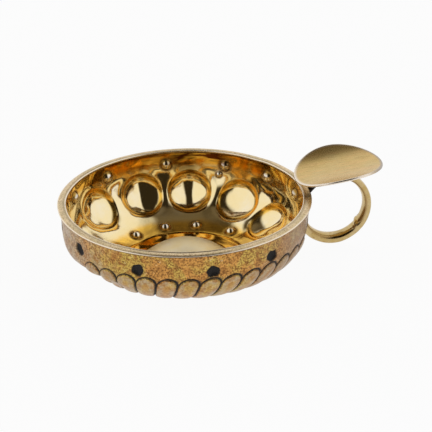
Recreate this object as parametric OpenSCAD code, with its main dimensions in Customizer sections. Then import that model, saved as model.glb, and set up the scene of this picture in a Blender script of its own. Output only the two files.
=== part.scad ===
// A tastevin: a shallow wine-tasting bowl raised from one silver-gilt sheet,
// with a flat lip round its mouth, a finger ring and a dished thumb rest.
// Millimetres, +Z up. The origin is on the table, on the bowl's axis, and
// the ring points along +X. Azimuths turn from +X towards +Y.

/* [Bowl] */
// Outside diameter of the upright wall under the lip
wall_d = 82.6; // [78:0.2:90]
// Height from the table to the top of the lip
bowl_h = 24; // [23:0.5:27]
// Thickness of the raised sheet
sheet = 0.9; // [0.7:0.1:1.1]
// Height at which the upright wall begins to turn in
hip_z = 17.5; // [16.5:0.5:18.5]
// Outside radius of the turn below the upright wall
hip_r = 14.5; // [13:0.5:15.5]
// Slope of the wall's normal below level where the turn meets the belly
belly_dip = 65; // [63:0.5:67]
// Width of the flat ring that the bowl stands on
foot_w = 6; // [4:0.5:8]
// Rise of the central dome above the floor
dome_rise = 6.5; // [4:0.5:8]

/* [Lip] */
// Thickness of the lip
lip_t = 0.8; // [0.8:0.1:1.6]
// Overhang of the lip outside the wall
lip_out = 1.2; // [0.6:0.1:1.6]
// Overhang of the lip inside the wall
lip_in = 0.8; // [0.2:0.1:1.2]
// Rounding of the lip's top edges
lip_round = 0.4; // [0.2:0.1:0.5]

/* [Cupules] */
// Number of large round hollows along the back half
cupule_count = 5; // [4:1:6]
// Azimuth of the first hollow, beside the ring
cupule_first = 17; // [15:1:20]
// Azimuth step from one hollow to the next
cupule_pitch = 28; // [26:0.5:30]
// Radius of each hollow
cupule_r = 8.6; // [7.5:0.1:9]
// Depth of each hollow below the wall
cupule_depth = 2.5; // [1.8:0.1:3]
// Slope of the wall's normal below level at the far hollows
cupule_dip = 36; // [33:1:40]
// Extra slope at the ring end of the row, which runs lower there
cupule_fall = 24; // [0:1:28]

/* [Pearls] */
// Number of raised pearls in each of the two rings
pearl_count = 12; // [8:1:12]
// Radius of a pearl
pearl_r = 1.9; // [1.6:0.1:2.2]
// Height of a pearl above the inside of the sheet
pearl_stand = 1.3; // [0.9:0.1:1.6]
// Mean height of the upper ring of pearls above the table
pearl_z = 17.9; // [17:0.1:19]
// How much nearer the lip the upper ring runs at the back
pearl_lift = 0.9; // [0:0.1:1.2]
// Distance of the lower ring of pearls outside the foot ring
low_pearl_gap = 2.7; // [2.4:0.1:4]
// How much larger in radius the pit behind a pearl is
pit_margin = 0.4; // [0.3:0.05:0.6]
// Depth of the pit behind each pearl
pit_depth = 1.1; // [0.9:0.05:1.3]
// Radius of the single small pearl between two hollows
small_pearl_r = 1.2; // [1:0.1:1.4]
// Height of the single small pearl above the inside of the sheet
small_pearl_stand = 0.9; // [0.7:0.1:1.1]
// Azimuth of the single small pearl
small_pearl_az = 60; // [58:0.5:62]
// Slope of the wall's normal below level at the single small pearl
small_pearl_dip = 10; // [6:1:12]

/* [Gadroons] */
// Number of raised tongues along the front half
lobe_count = 13; // [9:1:15]
// Azimuth step from one tongue to the next
lobe_pitch = 10; // [9.5:0.5:11]
// Azimuth of the middle tongue
lobe_mid = -90; // [-95:1:-85]
// Width of a tongue
lobe_w = 5.6; // [5:0.1:5.8]
// Rise of a tongue above the wall
lobe_rise = 0.6; // [0.4:0.1:0.8]
// Height of the round end of a tongue above the table
lobe_top_z = 14.6; // [13:0.2:16]
// Lean of the tongues round the bowl
lobe_lean = 12; // [0:1:15]

/* [Ring] */
// Inside diameter of the finger ring
ring_d = 21; // [18:0.5:23]
// Mean thickness of the ring strip at its crown
ring_t = 2.8; // [2:0.1:3.2]
// How much higher the finger hole sits, which thins the strip at its top
ring_taper = 0.6; // [0:0.1:0.9]
// Width of the ring strip
ring_w = 4.6; // [3.5:0.1:5.5]
// How much thinner the strip is at its edges
ring_crown = 1.1; // [0.6:0.1:1.2]
// Gap between the finger hole and the upright wall
ring_gap = 0.1; // [0.1:0.1:0.6]
// Height of the ring's top above the lip
ring_over = 3.6; // [3:0.05:4.5]
// Angle round the ring of its upper end, from straight out
ring_upper_end = 160; // [152:1:166]
// Angle round the ring of its lower end, from straight out
ring_lower_end = 176; // [172:1:178]

/* [Thumb rest] */
// Diameter of the round thumb rest
rest_d = 29.4; // [24:0.2:32]
// Thickness of the thumb rest
rest_t = 0.8; // [0.6:0.1:1.1]
// Rise of the thumb rest's long edges above its middle line
rest_dish = 2.5; // [1.5:0.1:3.5]
// Upward tilt of the thumb rest away from the bowl
rest_tilt = 7; // [3:0.5:9]
// Distance of the thumb rest's middle beyond the ring's middle
rest_out = 2.1; // [0:0.1:3]
// Depth of the flat filed on the ring's top to seat the thumb rest
seat_cut = 0.15; // [0.1:0.05:0.3]

/* [Solder] */
// Spread of a solder seam along the ring strip
solder_run = 0.8; // [0.5:0.1:1.1]
// Spread of a solder seam round the ring strip
solder_side = 0.5; // [0.3:0.1:0.8]
// Half length of the seam under the thumb rest
solder_half = 4; // [3:0.5:5]

/* [Hidden] */
$fn = 96;
// Reach of cuts beyond what they cut, and overlap of joined outlines
over = 5;
lap = 2;
// Azimuth at which the row of hollows stops falling, and how fast it falls
row_middle = 90;
fall_power = 1.5;
// Run of the tongues round the hip, in degrees below level
lobe_sweep = 75;
// Run of the seams past the ring's ends, in degrees round the ring
upper_spare = 8;
lower_spare = 2;
wall_r = wall_d / 2;
wall_top = bowl_h - lip_t;
hip_c = [wall_r - hip_r, hip_z];
belly_c = [0, hip_z + hip_c[0] * tan(belly_dip)];
belly_r = hip_c[0] / cos(belly_dip) + hip_r;
base_r = sqrt(pow(belly_r, 2) - pow(belly_c[1], 2));
low_pearl_dip = acos((base_r + low_pearl_gap) / belly_r);
dome_r = base_r - foot_w;
dome_top_r = (pow(dome_r, 2) + pow(dome_rise, 2)) / (2 * dome_rise);
dome_c = [0, sheet + dome_rise - dome_top_r];
lobe_crown_r = (pow(lobe_w / 2, 2) + pow(lobe_rise, 2)) / (2 * lobe_rise);
ring_ri = ring_d / 2;
ring_ro = ring_ri + ring_t;
ring_crown_r = (pow(ring_w / 2, 2) + pow(ring_crown, 2)) / (2 * ring_crown);
ring_x = wall_r + ring_gap + ring_ri;
ring_z = bowl_h + ring_over - ring_ro;
rest_r = rest_d / 2;
rest_dish_r = (pow(rest_r, 2) + pow(rest_dish, 2)) / (2 * rest_dish);

// The wall's outside runs down the upright band, round the hip arc and along
// the ball-shaped belly to the foot. A dip is the slope of its normal below level.
function arc_centre(dip) = dip < belly_dip ? hip_c : belly_c;
function arc_radius(dip) = dip < belly_dip ? hip_r : belly_r;
function on_wall(dip, off) =
    arc_centre(dip) + (arc_radius(dip) + off) * [cos(dip), -sin(dip)];
function cupule_az(i) = cupule_first + i * cupule_pitch;
function cupule_slope(i) =
    cupule_dip + cupule_fall * pow(max(0, 1 - cupule_az(i) / row_middle), fall_power);
function pearl_az(i) = i * 360 / pearl_count;
function upper_pearl(i, off) = [wall_r + off, pearl_z + pearl_lift * sin(pearl_az(i))];

// Carries children to [radius, height] in the upright plane at an azimuth.
module at(az, place) {
    rotate([0, 0, az])
        translate([place[0], 0, place[1]])
            children();
}

// Half section of the solid inside the wall's outside, grown by an offset.
module half_section(off, top) {
    reach = 2 * belly_r;
    translate([0, hip_z])
        square([wall_r + off, top - hip_z]);
    intersection() {
        translate(hip_c)
            circle(hip_r + off);
        square([wall_r + over, hip_z + lap]);
    }
    intersection() {
        translate(belly_c)
            circle(belly_r + off);
        polygon([
            belly_c,
            belly_c + reach * [cos(belly_dip), -sin(belly_dip)],
            belly_c - [0, reach]
        ]);
        translate([0, -off])
            square([wall_r, top + off]);
    }
}

// The solid that the wall's outside encloses, grown by an offset.
module bowl_body(off = 0) {
    rotate_extrude()
        half_section(off, wall_top);
}

// The outside with the hollow under the dome taken out.
module domed_body() {
    rotate_extrude()
        difference() {
            half_section(0, wall_top);
            translate(dome_c)
                circle(dome_top_r - sheet);
        }
}

// The space inside the bowl, above the dome.
module bowl_space() {
    rotate_extrude()
        difference() {
            half_section(-sheet, wall_top + over);
            translate(dome_c)
                circle(dome_top_r);
        }
}

// A round hollow pressed outwards, grown by an offset.
module cupules(off) {
    for (i = [0 : cupule_count - 1])
        at(cupule_az(i), on_wall(cupule_slope(i), cupule_depth - sheet - cupule_r))
            sphere(cupule_r + off);
}

// Tongues that lie on the hip, round at the top and fading out below.
module gadroons() {
    for (i = [0 : lobe_count - 1])
        at(lobe_mid + (i - (lobe_count - 1) / 2) * lobe_pitch, hip_c)
            rotate([-lobe_lean, 0, 0])
                intersection() {
                    rotate([90, 0, 0])
                        rotate_extrude(angle = lobe_sweep, start = -lobe_sweep)
                            lobe_section();
                    rotate([90, 0, 90])
                        linear_extrude(hip_r + over)
                            tongue();
                }
}

module lobe_section() {
    intersection() {
        translate([hip_r + lobe_rise - lobe_crown_r, 0])
            circle(lobe_crown_r);
        translate([hip_r - sheet, -lobe_w / 2])
            square([sheet + 2 * lobe_rise, lobe_w]);
    }
}

module tongue() {
    round_z = lobe_top_z - hip_z - lobe_w / 2;
    translate([0, round_z])
        circle(lobe_w / 2);
    translate([-lobe_w / 2, -hip_r - over])
        square([lobe_w, hip_r + over + round_z]);
}

// Balls that stand out of the inside of the sheet.
module pearls() {
    out = pearl_r - sheet - pearl_stand;
    small_out = small_pearl_r - sheet - small_pearl_stand;
    for (i = [0 : pearl_count - 1]) {
        at(pearl_az(i), upper_pearl(i, out))
            sphere(pearl_r);
        at(pearl_az(i), on_wall(low_pearl_dip, out))
            sphere(pearl_r);
    }
    at(small_pearl_az, on_wall(small_pearl_dip, small_out))
        sphere(small_pearl_r);
}

// Pits that the punch leaves outside, behind the pearls.
module pits() {
    r = pearl_r + pit_margin;
    small_r = small_pearl_r + pit_margin;
    for (i = [0 : pearl_count - 1]) {
        at(pearl_az(i), upper_pearl(i, r - pit_depth))
            sphere(r);
        at(pearl_az(i), on_wall(low_pearl_dip, r - pit_depth))
            sphere(r);
    }
    at(small_pearl_az, on_wall(small_pearl_dip, small_r - pit_depth))
        sphere(small_r);
}

module bowl() {
    color("goldenrod")
        difference() {
            union() {
                difference() {
                    union() {
                        domed_body();
                        gadroons();
                        cupules(sheet);
                    }
                    bowl_space();
                    cupules(0);
                }
                pearls();
            }
            pits();
        }
}

// A flat ring soldered on the edge of the sheet, with rounded top edges.
module lip_solid() {
    inner = wall_r - sheet - lip_in;
    width = sheet + lip_in + lip_out;
    rotate_extrude()
        translate([inner, wall_top])
            union() {
                square([width, lip_t - lip_round]);
                translate([lip_round, 0])
                    square([width - 2 * lip_round, lip_t]);
                for (x = [lip_round, width - lip_round])
                    translate([x, lip_t - lip_round])
                        circle(lip_round);
            }
}

module rim_lip() {
    color("rosybrown")
        lip_solid();
}

// Strip section before the finger hole is cut: crowned outside.
module ring_section(grow) {
    depth = ring_t + ring_taper + 2 * grow;
    intersection() {
        translate([ring_ro - ring_crown_r, 0])
            circle(ring_crown_r + grow);
        translate([ring_ro + grow - depth, -ring_w / 2 - grow])
            square([depth, ring_w + 2 * grow]);
    }
}

module ring_strip(grow, upper_end, lower_end) {
    difference() {
        translate([ring_x, 0, ring_z])
            rotate([90, 0, 0])
                rotate_extrude(angle = upper_end + lower_end, start = -lower_end)
                    ring_section(grow);
        translate([ring_x, 0, ring_z + ring_taper])
            rotate([90, 0, 0])
                cylinder(r = ring_ri - grow, h = 2 * ring_w, center = true);
    }
}

module ring_body() {
    ring_strip(0, ring_upper_end, ring_lower_end);
}

// Carries children to the thumb rest's middle, on its upper surface.
module at_rest() {
    translate([ring_x, 0, ring_z + ring_ro - seat_cut])
        rotate([0, -rest_tilt, 0])
            translate([rest_out, 0, rest_t])
                children();
}

// The long round bar whose underside shapes the dish.
module dish_bar(grow) {
    at_rest()
        translate([0, 0, rest_dish_r])
            rotate([0, 90, 0])
                cylinder(r = rest_dish_r + grow, h = 2 * rest_d, center = true);
}

module ring_handle() {
    color("darkgoldenrod")
        difference() {
            ring_body();
            bowl_body();
            lip_solid();
            dish_bar(rest_t);
        }
}

module thumb_rest() {
    color("palegoldenrod")
        difference() {
            intersection() {
                dish_bar(rest_t);
                at_rest()
                    translate([0, 0, -2 * rest_t])
                        cylinder(r = rest_r, h = 2 * rest_t + 2 * rest_dish);
            }
            dish_bar(0);
        }
}

// A seam round one end of the ring, between two heights on the wall.
module wall_seam(low_z, high_z, upper_run, lower_run) {
    difference() {
        intersection() {
            ring_strip(solder_side, ring_upper_end + upper_run, ring_lower_end + lower_run);
            bowl_body(solder_run);
            translate([0, -ring_w, low_z])
                cube([ring_x, 2 * ring_w, high_z - low_z]);
        }
        ring_body();
        bowl_body();
        lip_solid();
    }
}

module ring_upper_solder() {
    color("silver")
        wall_seam(ring_z + ring_w / 2, wall_top, upper_spare, 0);
}

module ring_lower_solder() {
    color("silver")
        wall_seam(0, ring_z, 0, lower_spare);
}

module thumb_rest_solder() {
    color("silver")
        difference() {
            intersection() {
                ring_strip(solder_side, ring_upper_end, ring_lower_end);
                dish_bar(rest_t + solder_run);
                translate([ring_x - solder_half, -ring_w, ring_z])
                    cube([2 * solder_half, 2 * ring_w, ring_ro + over]);
            }
            ring_body();
            dish_bar(rest_t);
        }
}

bowl();
rim_lip();
ring_handle();
thumb_rest();
ring_upper_solder();
ring_lower_solder();
thumb_rest_solder();
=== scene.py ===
"""Looks of a tastevin.

It is a raised silver-gilt wine taster with a flat lip, a finger ring and a dished thumb rest.
Lengths are in millimetres, and MM turns them into metres where something is made.
Azimuths turn from +X, where the ring is, towards +Y, where the cupules are.
A dip is the slope of the wall's outward normal below level.
"""

import math

import bpy
import numpy as np
from mathutils import Matrix, Vector


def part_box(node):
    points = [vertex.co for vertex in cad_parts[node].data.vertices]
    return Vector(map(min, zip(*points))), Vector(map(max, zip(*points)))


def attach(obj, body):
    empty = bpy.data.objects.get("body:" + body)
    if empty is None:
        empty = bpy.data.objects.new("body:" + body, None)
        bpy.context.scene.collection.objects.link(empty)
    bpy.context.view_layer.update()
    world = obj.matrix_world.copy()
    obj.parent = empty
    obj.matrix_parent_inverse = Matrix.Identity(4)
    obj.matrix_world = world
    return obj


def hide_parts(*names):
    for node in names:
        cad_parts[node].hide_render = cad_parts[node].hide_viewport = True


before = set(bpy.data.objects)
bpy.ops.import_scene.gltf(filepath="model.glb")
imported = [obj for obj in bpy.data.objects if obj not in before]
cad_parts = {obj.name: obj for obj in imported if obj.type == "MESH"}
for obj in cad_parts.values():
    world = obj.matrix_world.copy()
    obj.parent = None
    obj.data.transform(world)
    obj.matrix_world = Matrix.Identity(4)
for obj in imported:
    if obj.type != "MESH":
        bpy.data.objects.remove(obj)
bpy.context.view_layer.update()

MM = 0.001
TURN = 2 * math.pi

# Bowl
LIP_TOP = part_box("rim_lip")[1][2] / MM
LIP_R = 42.5
LIP_OUT = 1.2
LIP_IN = 0.8
LIP_T = 0.8
SHEET = 0.9
WALL_R = LIP_R - LIP_OUT
WALL_TOP = LIP_TOP - LIP_T
FLARE = 0.45
HIP_Z = 17.5
HIP_R = 14.5
BELLY_DIP = math.radians(65)
FOOT_W = 6.0
DOME_RISE = 6.5
HIP_C = np.array([WALL_R - HIP_R, HIP_Z])
BELLY_C = np.array([0.0, HIP_Z + HIP_C[0] * math.tan(BELLY_DIP)])
BELLY_R = HIP_C[0] / math.cos(BELLY_DIP) + HIP_R
BASE_R = math.sqrt(BELLY_R**2 - BELLY_C[1] ** 2)
DOME_R = BASE_R - FOOT_W
DOME_BALL_R = (DOME_R**2 + DOME_RISE**2) / (2 * DOME_RISE)
CORNER_ROUND = 1.2

# Cupules: azimuth and dip in degrees, and the fall of the cone from its edge
CUPULES = [(19, 61, 1.8), (47, 46, 0.7), (75.4, 39, 3.2), (102, 37, 2.2), (131, 36, 0.8)]
# Half sizes of a cupule on the inside, and its growth per millimetre of sheet
CUPULE_WIDE = 8.0
CUPULE_TALL = 7.6
CUPULE_GROWTH = 0.6
# Roundness of the cone's tip, and the share of its slope that it keeps up and down the wall
CUPULE_TIP = 0.22
CUPULE_TIP_OUTSIDE = 0.45
CUPULE_FLAT = 0.4
# Height of the side under a cone without fall, and the part of the fall that it gives up
CUPULE_SIDE = 1.35
CUPULE_SHARE = 0.2
# Sharpness of the bend from the floor to the side, and how much softer it is uphill
CUPULE_BEND = 10
CUPULE_BEND_SOFTER = 0.45
# Deepening of the floor uphill, slope of the skirt outside the edge and softness of the edge
CUPULE_UPHILL = 0.08
CUPULE_SKIRT = 3.0
CUPULE_EDGE = 0.8
# Middle and width of the side's mask, as shares of the half size
CUPULE_MASK_AT = 0.88
CUPULE_MASK_WIDTH = 0.11

# Pearls and the pits behind them: azimuths in degrees, as uneven as the punch left them
UPPER_PEARLS = [8, 32, 57, 87, 120, 147, 176, 202, 236, 270, 300, 338]
LOWER_PEARLS = [4, 38, 69, 95, 123, 150, 180, 211, 239, 270, 301, 332]
PEARL_R = 2.05
PEARL_STAND = 1.5
PEARL_Z = 17.9
PEARL_LIFT = 0.9
PEARL_FILLET = 0.3
PEARL_DIRT_AT = 1.04
PEARL_DIRT_WIDTH = 0.28
LOW_PEARL_GAP = 3.4
LOW_PEARL_R = BASE_R + LOW_PEARL_GAP
PIT_SHARE = 1.02
PIT_DEPTH = 1.15
PIT_RAGGED = 0.05
PIT_CORNERS = (2, 3, 5)
SMALL_PEARL_AZ = 60
SMALL_PEARL_DIP = math.radians(10)
SMALL_PEARL_R = 1.2
SMALL_PEARL_STAND = 0.9

# Gadroons along the front
LOBES = 13
LOBE_PITCH = math.radians(10)
LOBE_MID = math.radians(-90)
LOBE_TOP_Z = 14.6
LOBE_RISE = 0.6
LOBE_SHARE_INSIDE = 0.45
LOBE_LEAN = math.tan(math.radians(12))
LOBE_HALF = 0.49
LOBE_FOOT_R = BASE_R + 1
LOBE_FULL_R = BASE_R + 7
# Grooves round the gadroons, bolder on one side and from a turn in degrees off the middle of the row
GROOVE_DEPTH = 0.3
GROOVE_DEPTH_INSIDE = 0.1
GROOVE_W = 0.16
GROOVE_BOLDER = 0.10
GROOVE_BOLDER_SIDE = 0.20
GROOVE_BOLD_TURN = (-75, -20)

# The side opposite the ring, with azimuths and dips in degrees
LEFT_FULL = 0.8
LEFT_FULL_AZ = 190
LEFT_FULL_DIP = 22
LEFT_FULL_TALL = 16
LEFT_FLAT = 2.0
LEFT_FLAT_AZ = 206
LEFT_FLAT_TOP = (26, 44)
LEFT_FLAT_FOOT = (52, 68)
LEFT_SPREAD = 17
LEFT_INSIDE = 0.75

# Lean of the inner wall at the back
LEAN = 0.8
LEAN_Z = 12.5
LEAN_TALL = 4.5
LEAN_AZ = 93
LEAN_SPREAD = 38

# Outline of the lip
LIP_BEAD = 0.26
LIP_RIM = 0.16
LIP_GROOVE = 0.2
LIP_FALL = 0.12
LIP_INNER_R = WALL_R - SHEET - LIP_IN
LIP_GROOVE_R = LIP_INNER_R + 2.2 * LIP_BEAD

# Ring and thumb rest, with the seam, the ends, the painted shadow with sooty blackening at the ring's upper
# end, and the fuller edge at angles in degrees
RING_RI = 10.5
RING_T = 2.8
RING_RO = RING_RI + RING_T
RING_TAPER = 0.6
RING_W = 4.6
RING_GAP = 0.1
RING_RISE = 3.6
RING_X = WALL_R + RING_GAP + RING_RI
RING_Z = LIP_TOP + RING_RISE - RING_RO
RING_SEAM = -38
RING_SEAM_RISE = 0.5
RING_SEAM_WIDTH = 4
RING_SEAM_SLANT = 2.5
RING_SINK = 0.2
RING_POWER = 2.5
RING_UPPER_END = (120, 179)
RING_LOWER_END = (-120, -179.5)
RING_SHADE_AND_SOOT = (106, 124)
REST_LONG = 15.2
REST_WIDE = 14.4
REST_T = 0.8
REST_DISH = 2.5
REST_CURL = 0.5
REST_FULLER = 0.05
REST_FULLER_AZ = 217
REST_FULLER_SPREAD = 28
REST_EDGE = 0.025
REST_TILT = math.radians(7)
REST_OUT = 1.65
SEAT_CUT = 0.15

# Unevenness of the metal: height of the waves, their shortest length and the seed
WAVE_COUNT = 16
INSIDE_BROAD = (0.06, 7.0, 3)
INSIDE_FINE = (0.025, 4.0, 4)
INSIDE_BAND = (0.04, 6.0, 21)
INSIDE_HOLLOWS = (0.05, 4.5, 31)
OUTSIDE_BROAD = (0.05, 7.0, 5)
OUTSIDE_FINE = (0.015, 2.5, 6)
LIP_TOP_WAVES = (0.04, 7.0, 7)
LIP_WIDTH_WAVES = (0.05, 12.0, 9)
RING_WAVES = (0.035, 5.0, 13)
REST_WAVES = (0.05, 14.0, 11)
BAND_STRETCH = np.array([0.7, 0.7, 1.4])
PIT_SEED = 17

# Wear, soiling, painted shade, painted sheen, painted highlight and a painted reflection, from 0 to 1, with
# azimuths in degrees
DOME_WEAR = 0.66
SLOPE_WEAR_AND_SHEEN = 0.62
PEARL_WEAR = 0.85
GILT_AZ = -104
RIGHT_WEAR = 0.4
LEFT_WEAR = 0.6
EDGE_WEAR_AND_HIGHLIGHT = 0.55
SIDE_SATIN = 0.35
EDGE_SATIN = 0.35
BACK_STAIN_AZ = 70
BACK_STAIN_SPREAD = 17
LIP_STAIN = 0.7
BAND_STAIN = 0.3
MOAT_STAIN = 0.3
LIP_EDGE_SHADOW = 0.8
LIP_GROOVE_DARKENING = 0.55
# a painted dark reflection of the bowl's wall along the ring's inner corners: its place across the strip and
# its width
RING_CORNER_AT = 0.16
RING_CORNER_WIDTH = 0.17

# Fineness of the meshes
AROUND = 1080
STEP = 0.25
ARC_POINTS = 60
LIP_AROUND = 720
RING_STEPS = 240
RING_AROUND = 40
REST_AROUND = 192
REST_ROWS = 40


# Shapes of the bowl


def smooth_max(a, b, k):
    """The larger of two fields, rounded over a width k where they cross."""
    h = np.clip(0.5 + 0.5 * (a - b) / k, 0, 1)
    return b + (a - b) * h + k * h * (1 - h)


def smooth_step(low, high, x):
    """0 at low, 1 at high, with soft ends."""
    t = np.clip((x - low) / (high - low), 0, 1)
    return t * t * (3 - 2 * t)


def hump(middle, width, x):
    """1 at the middle, falling off on both sides."""
    return np.exp(-(((x - middle) / width) ** 2))


def turn_from(azimuths, degrees):
    """Signed angle of each azimuth from one in degrees, in degrees."""
    return (np.degrees(azimuths) - degrees + 180) % 360 - 180


def rounded(points, width):
    """A half section with its corners rounded by a running average."""
    reach = int(round(width / STEP))
    kernel = np.hanning(2 * reach + 3)[1:-1]
    kernel /= kernel.sum()
    mirrored = points[1 : reach + 1][::-1] * np.array([-1, 1])
    onward = points[-1] + (points[-1] - points[-2]) * np.arange(1, reach + 1)[:, None]
    longer = np.vstack([mirrored, points, onward])
    return np.stack([np.convolve(longer[:, i], kernel, "valid") for i in range(2)], axis=1)


def evenly(points):
    """A half section resampled at even steps."""
    run = np.r_[0, np.cumsum(np.hypot(*np.diff(points, axis=0).T))]
    at = np.linspace(0, run[-1], int(run[-1] / STEP) + 1)
    return np.stack([np.interp(at, run, points[:, i]) for i in range(2)], axis=1)


def arc(centre, radius, dips):
    """Points of the wall on one arc."""
    return centre + radius * np.stack([np.cos(dips), -np.sin(dips)], axis=1)


def half_section(off):
    """The wall from the axis to the lip, moved outwards by off: 0 is the outside, -SHEET the inside."""
    floor_z = -off
    ball_z = SHEET + DOME_RISE - DOME_BALL_R
    ball_r = DOME_BALL_R - SHEET - off
    dome_r = math.sqrt(ball_r**2 - (floor_z - ball_z) ** 2)
    tilts = np.linspace(0, math.asin(dome_r / ball_r), ARC_POINTS)
    dome = np.stack([ball_r * np.sin(tilts), ball_z + ball_r * np.cos(tilts)], axis=1)
    foot_dip = math.asin((BELLY_C[1] - floor_z) / (BELLY_R + off))
    belly = arc(BELLY_C, BELLY_R + off, np.linspace(foot_dip, BELLY_DIP, ARC_POINTS))
    hip = arc(HIP_C, HIP_R + off, np.linspace(BELLY_DIP, 0, ARC_POINTS))
    top = np.array([[WALL_R + off, WALL_TOP]])
    return rounded(evenly(np.vstack([dome, belly, hip[1:], top])), CORNER_ROUND)


def outward(line):
    """Unit normals of a half section, away from the hollow."""
    along = np.gradient(line, axis=0)
    out = np.stack([along[:, 1], -along[:, 0]], axis=1)
    return out / np.linalg.norm(out, axis=1, keepdims=True)


def spun(pairs, azimuths):
    """Half-section vectors turned round the axis: rows follow the section, columns the azimuth."""
    r, z = pairs[:, 0, None], pairs[:, 1, None]
    return np.stack([r * np.cos(azimuths), r * np.sin(azimuths), z + 0 * azimuths], axis=-1)


def normal_at(dip):
    """Outward normal of the half section at a dip."""
    return np.array([math.cos(dip), -math.sin(dip)])


def wall_point(dip, off=0.0):
    """A point of the wall's half section at a dip."""
    centre, radius = (HIP_C, HIP_R) if dip < BELLY_DIP else (BELLY_C, BELLY_R)
    return centre + (radius + off) * normal_at(dip)


def placed(half, azimuth):
    """A half-section point at an azimuth."""
    return np.array([half[0] * math.cos(azimuth), half[0] * math.sin(azimuth), half[1]])


def on_wall(points, half, normal, azimuth):
    """Place of each point along the wall from a half-section point: level, uphill and out of the wall."""
    away = points - placed(half, azimuth)
    axis = placed(normal, azimuth)
    level = np.array([-math.sin(azimuth), math.cos(azimuth), 0])
    return away @ level, away @ np.cross(axis, level), away @ axis


def to_ball(points, direction, centre, radius):
    """How far each point moves along its direction to reach the far side of a ball, or -1 if it misses."""
    away = points - centre
    b = (away * direction).sum(-1)
    gap = b * b - ((away * away).sum(-1) - radius**2)
    return np.where(gap > 0, -b + np.sqrt(np.maximum(gap, 0)), -1.0)


def cupule_push(points, off):
    """Outward push of the large hollows, and a mask of their sides.

    A hollow is a blunt cone with steep sides and a soft skirt outside its edge.
    """
    push = np.zeros(points.shape[:2])
    side = np.zeros(points.shape[:2])
    grow = 1 + (off + SHEET) * CUPULE_GROWTH / CUPULE_WIDE
    tip = CUPULE_TIP if off < 0 else CUPULE_TIP_OUTSIDE
    for azimuth, dip, fall in CUPULES:
        d = math.radians(dip)
        level, uphill, out = on_wall(points, wall_point(d, off), normal_at(d), math.radians(azimuth))
        rho = np.hypot(level / (CUPULE_WIDE * grow), uphill / (CUPULE_TALL * grow))
        across = np.hypot(level / CUPULE_WIDE, CUPULE_FLAT * uphill / CUPULE_TALL)
        cone = fall * (math.hypot(1, tip) - np.hypot(across, tip))
        bend = CUPULE_BEND * (1 - CUPULE_BEND_SOFTER * np.clip(uphill / CUPULE_TALL, -1, 1))
        wall = CUPULE_SIDE - CUPULE_SHARE * fall
        hollow = (cone + wall + CUPULE_UPHILL * uphill) * (1 - np.minimum(rho, 1) ** bend)
        dish = np.where(rho < 1, hollow, CUPULE_SKIRT * (1 - rho))
        near = (rho < 2) & (np.abs(out) < CUPULE_WIDE)
        push = np.where(near, smooth_max(push, dish, CUPULE_EDGE), push)
        on_side = hump(CUPULE_MASK_AT, CUPULE_MASK_WIDTH, rho)
        side = np.where(near, np.maximum(side, on_side), side)
    return push, side


def pearl_places():
    """Half-section point on the outside, its normal, azimuth, radius and height of every pearl."""
    for azimuth in np.radians(UPPER_PEARLS):
        upper = np.array([WALL_R, PEARL_Z + PEARL_LIFT * math.sin(azimuth)])
        yield upper, normal_at(0), azimuth, PEARL_R, PEARL_STAND
    low_dip = math.acos(LOW_PEARL_R / BELLY_R)
    for azimuth in np.radians(LOWER_PEARLS):
        yield wall_point(low_dip), normal_at(low_dip), azimuth, PEARL_R, PEARL_STAND
    small = wall_point(SMALL_PEARL_DIP)
    yield small, normal_at(SMALL_PEARL_DIP), math.radians(SMALL_PEARL_AZ), SMALL_PEARL_R, SMALL_PEARL_STAND


def pearl_push(points, out):
    """Inward push of the pearls on the inside, and a mask of the soiling round their foot."""
    push = np.zeros(points.shape[:2])
    dirt_and_shade = np.zeros(points.shape[:2])
    for half, normal, azimuth, radius, stand in pearl_places():
        centre = placed(half + normal * (radius - SHEET - stand), azimuth)
        foot = placed(half - normal * SHEET, azimuth)
        ball = to_ball(points, -out, centre, radius)
        away = np.linalg.norm(points - foot, axis=-1)
        push = np.where(away < 2 * radius, smooth_max(push, ball, PEARL_FILLET), push)
        dirt_and_shade = np.maximum(dirt_and_shade, hump(radius * PEARL_DIRT_AT, PEARL_DIRT_WIDTH * radius, away))
    return push, dirt_and_shade


def pit_push(points):
    """Inward push of the ragged pits behind the pearls, and a mask of the soiling in them."""
    push = np.zeros(points.shape[:2])
    dirt_and_shade = np.zeros(points.shape[:2])
    chance = np.random.default_rng(PIT_SEED)
    for half, normal, azimuth, radius, _ in pearl_places():
        level, uphill, out = on_wall(points, half, normal, azimuth)
        angle = np.arctan2(uphill, level)
        ragged = sum(np.sin(k * angle + chance.uniform(0, TURN)) for k in PIT_CORNERS)
        rho = np.hypot(level, uphill) / (radius * PIT_SHARE * (1 + PIT_RAGGED * ragged))
        near = np.abs(out) < 2 * radius
        bowl = PIT_DEPTH * np.sqrt(np.maximum(1 - rho**2, 0))
        push = np.where(near, np.maximum(push, bowl), push)
        dirt_and_shade = np.where(near, np.maximum(dirt_and_shade, smooth_step(1.15, 0.85, rho)), dirt_and_shade)
    return push, dirt_and_shade


def tongues(line, azimuths):
    """The nearest gadroon: distance inside its edge, half width, place across it and share that shows."""
    run = np.cumsum(np.r_[0, np.hypot(*np.diff(line, axis=0).T)])
    wall = np.flatnonzero(line[:, 0] > BASE_R)
    top = wall[np.argmin(np.abs(line[wall, 1] - LOBE_TOP_Z))]
    down = (run[top] - run)[:, None]
    r = np.maximum(line[:, :1], 1)
    half = LOBE_HALF * LOBE_PITCH * r
    turned = azimuths - LOBE_MID + down * LOBE_LEAN / r
    turned = (turned + math.pi) % TURN - math.pi
    index = np.clip(np.round(turned / LOBE_PITCH), -(LOBES // 2), LOBES // 2)
    side = (turned - index * LOBE_PITCH) * r
    inside = np.where(down > half, half - np.abs(side), half - np.hypot(side, down - half))
    shows = smooth_step(LOBE_FOOT_R, LOBE_FULL_R, line[:, :1])
    return inside, half, side / half, shows


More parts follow.
